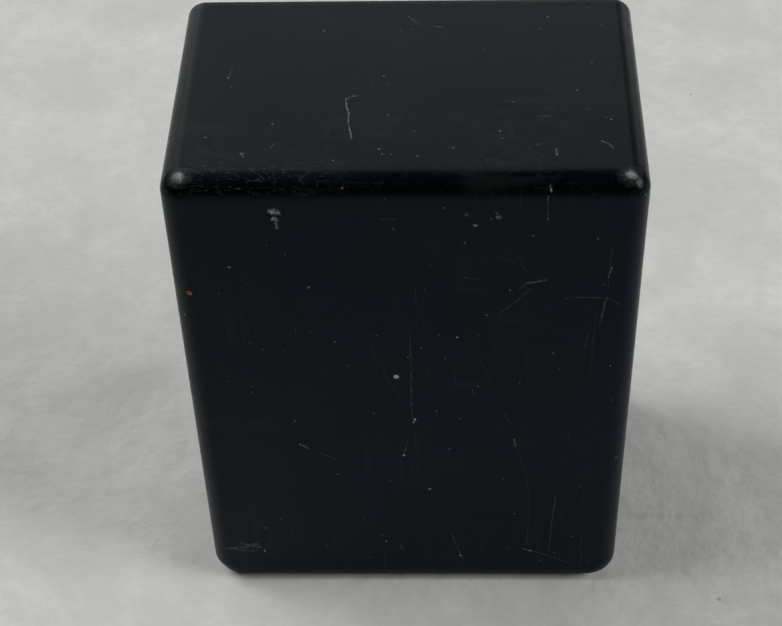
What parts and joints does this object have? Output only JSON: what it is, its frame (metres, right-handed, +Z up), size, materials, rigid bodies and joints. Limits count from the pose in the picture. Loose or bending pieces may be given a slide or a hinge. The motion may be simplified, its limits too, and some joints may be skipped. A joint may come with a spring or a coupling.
{
  "type": "bench demagnetizer",
  "caption": "Upright black moulded case, plain on the sides, with a blind round coil well, a push switch and a cord grommet on its back panel.",
  "frame": {"origin": "middle of the flat base face that the case stands on, taken without the push button", "axes": "+Z up; +Y out of the working panel, in the direction the well opens; +X to the side of the cord grommet"},
  "size_m": [0.076, 0.0558, 0.1],
  "materials": {
    "case_moulding": "black phenolic moulding, satin, scuffed and scratched",
    "panel_laminate": "black paper laminate, fine matt",
    "liner_moulding": "black moulding, satin with a polished lip",
    "bobbin_moulding": "cream nylon moulding",
    "copper_wire": "enamelled copper wire in close layers",
    "coil_tape": "varnished cotton tape, lapped",
    "felt": "grey wool felt",
    "zinc_steel": "zinc plated steel",
    "nickel_plate": "dull nickel plate",
    "brass": "machined brass",
    "spring_steel": "drawn spring wire",
    "switch_moulding": "dark brown phenolic moulding",
    "button_red": "red moulding, worn to satin on top",
    "rubber": "soft black rubber",
    "block_moulding": "white nylon moulding",
    "lead_brown": "brown pvc insulation",
    "lead_blue": "blue pvc insulation",
    "sleeving": "yellow varnished sleeving"
  },
  "bodies": {
    "housing": {"case_shell": "case_moulding", "panel_inserts": "brass", "cover_panel": "panel_laminate", "panel_screws": "zinc_steel", "coil_bobbin": "bobbin_moulding", "coil_winding": "copper_wire", "coil_tape": "coil_tape", "felt_ring": "felt", "well_liner": "liner_moulding", "bobbin_screws": "zinc_steel", "bobbin_washers": "zinc_steel", "bobbin_nuts": "zinc_steel", "switch_bush": "nickel_plate", "switch_nut": "nickel_plate", "switch_lock_washer": "zinc_steel", "switch_body": "switch_moulding", "contact_plate": "switch_moulding", "fixed_contacts": "brass", "return_spring": "spring_steel", "cord_grommet": "rubber", "terminal_block": "block_moulding", "terminal_barrels": "brass", "terminal_screws": "zinc_steel", "block_screw": "zinc_steel", "block_nut": "zinc_steel", "joint_sleeves": "sleeving", "lead_coil_to_switch": "lead_brown", "lead_coil_to_block": "lead_blue", "lead_switch_to_block": "lead_brown"},
    "button": {"button_cap": "button_red", "plunger_stem": "zinc_steel", "contact_bridge": "brass", "stem_clip": "spring_steel"}
  },
  "joints": [
    {"name": "button_press", "type": "slide", "parent": "housing", "child": "button", "axis": [0, -1, 0], "range_m": [0, 0.0025], "stiffness_N_per_m": 800, "springref_m": -0.002, "deforming": ["return_spring"]}
  ]
}
